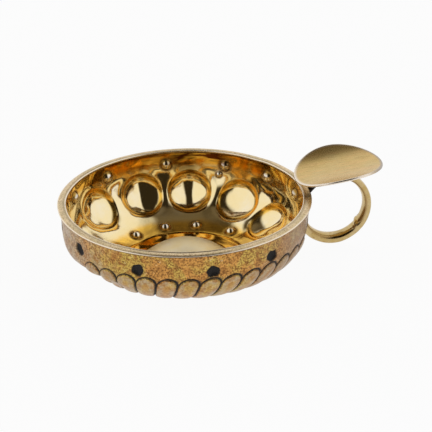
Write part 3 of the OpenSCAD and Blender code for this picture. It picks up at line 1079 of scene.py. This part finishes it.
# Panels: level, turn towards the front, and the two ends of the soft edge
PANEL_LEVEL = 1.0
RIGHT_TURN = -0.35
RIGHT_EDGE = (0.26, 0.46)
LEFT_TURN = -0.1
LEFT_EDGE = (0.24, 0.38)
BACKDROP_LEVEL = 0.95
BACKDROP_EDGE = (0.50, 0.72)
CEILING_LEVEL = 0.15
CEILING_RISE = 0.44
CEILING_TURN = -0.19
CEILING_EDGE = (0.955, 1.0)


def make_floor():
    """A wide pale floor, white to the camera and in reflections, that keeps a soft shadow."""
    bpy.ops.mesh.primitive_plane_add(size=FLOOR_SIZE * MM)
    floor = bpy.context.object
    floor.name = "floor"
    n = Nodes("pale_floor")
    n.set(Base_Color=FLOOR_COLOUR, Roughness=FLOOR_ROUGHNESS)
    glow = n.add("ShaderNodeEmission")
    glow.inputs["Strength"].default_value = 1.0
    paths = n.add("ShaderNodeLightPath").outputs
    seen = n.math("ADD", paths["Is Camera Ray"], paths["Is Glossy Ray"])
    seen = n.math("ADD", seen, paths["Is Transmission Ray"])
    blend = n.add("ShaderNodeMixShader")
    n.feed(blend.inputs[0], n.math("MULTIPLY", seen, FLOOR_GLOW))
    n.feed(blend.inputs[1], n.shader.outputs[0])
    n.feed(blend.inputs[2], glow.outputs[0])
    n.feed(n.end.inputs[0], blend.outputs[0])
    floor.data.materials.append(n.material)


def make_world():
    """A studio with white panels left and right, a pale backdrop, a dim ceiling and a dark front."""
    world = bpy.data.worlds.new("studio")
    bpy.context.scene.world = world
    world.use_nodes = True
    tree = world.node_tree
    background = tree.nodes["Background"]
    place = tree.nodes.new("ShaderNodeTexCoord").outputs["Generated"]

    def panel(facing, edge_ends, level):
        """Light from the directions that lie along a facing, between the two ends of its soft edge."""
        share = tree.nodes.new("ShaderNodeVectorMath")
        share.operation = "DOT_PRODUCT"
        tree.links.new(place, share.inputs[0])
        share.inputs[1].default_value = facing
        edge = tree.nodes.new("ShaderNodeMapRange")
        edge.interpolation_type = "SMOOTHSTEP"
        tree.links.new(share.outputs["Value"], edge.inputs["Value"])
        edge.inputs["From Min"].default_value, edge.inputs["From Max"].default_value = edge_ends
        edge.inputs["To Min"].default_value = DARK_LEVEL
        edge.inputs["To Max"].default_value = level
        return edge.outputs[0]

    def brighter(a, b):
        """The larger of two levels."""
        node = tree.nodes.new("ShaderNodeMath")
        node.operation = "MAXIMUM"
        tree.links.new(a, node.inputs[0])
        tree.links.new(b, node.inputs[1])
        return node.outputs[0]

    a = CAMERA_AZIMUTH
    right = Vector((math.cos(a), math.sin(a), 0))
    front = Vector((math.sin(a), -math.cos(a), 0))
    up = Vector((0, 0, 1))
    right_panel = panel(right + RIGHT_TURN * front, RIGHT_EDGE, PANEL_LEVEL)
    left_panel = panel(LEFT_TURN * front - right, LEFT_EDGE, PANEL_LEVEL)
    backdrop = panel(-front, BACKDROP_EDGE, BACKDROP_LEVEL)
    overhead = (CEILING_RISE * up + CEILING_TURN * front).normalized()
    ceiling = panel(overhead, CEILING_EDGE, CEILING_LEVEL)
    level = brighter(brighter(right_panel, left_panel), brighter(backdrop, ceiling))
    tree.links.new(level, background.inputs["Strength"])
    whiter = tree.nodes.new("ShaderNodeMapRange")
    tree.links.new(level, whiter.inputs["Value"])
    whiter.inputs["From Min"].default_value = DARK_LEVEL
    whiter.inputs["From Max"].default_value = WHITE_LEVEL
    tint = tree.nodes.new("ShaderNodeMix")
    tint.data_type = "RGBA"
    tree.links.new(whiter.outputs[0], tint.inputs[0])
    tint.inputs[6].default_value = (*DARK_TINT, 1)
    tint.inputs[7].default_value = (1, 1, 1, 1)
    tree.links.new(tint.outputs[2], background.inputs["Color"])


def make_camera():
    """The photograph's view: the bowl from above its front edge, with the ring to the right."""
    a, e, roll = CAMERA_AZIMUTH, CAMERA_ELEVATION, CAMERA_ROLL
    back = Vector((math.sin(a) * math.cos(e), -math.cos(a) * math.cos(e), math.sin(e)))
    level = Vector((math.cos(a), math.sin(a), 0))
    above = back.cross(level)
    right = level * math.cos(roll) + above * math.sin(roll)
    up = above * math.cos(roll) - level * math.sin(roll)
    target = level * TARGET_RIGHT + Vector((0, 0, TARGET_Z))
    data = bpy.data.cameras.new("camera")
    data.sensor_fit = "HORIZONTAL"
    data.angle = FIELD_OF_VIEW
    data.clip_start = CLIP_START * MM
    camera = bpy.data.objects.new("camera", data)
    turn = Matrix((right, up, back)).transposed().to_4x4()
    camera.matrix_world = Matrix.Translation((target + back * CAMERA_DISTANCE) * MM) @ turn
    bpy.context.scene.collection.objects.link(camera)
    bpy.context.scene.camera = camera


make_camera()
make_bowl()
make_lip()
make_ring()
make_rest()
dress_solder()
make_floor()
make_world()
bpy.context.scene.view_settings.view_transform = "Standard"
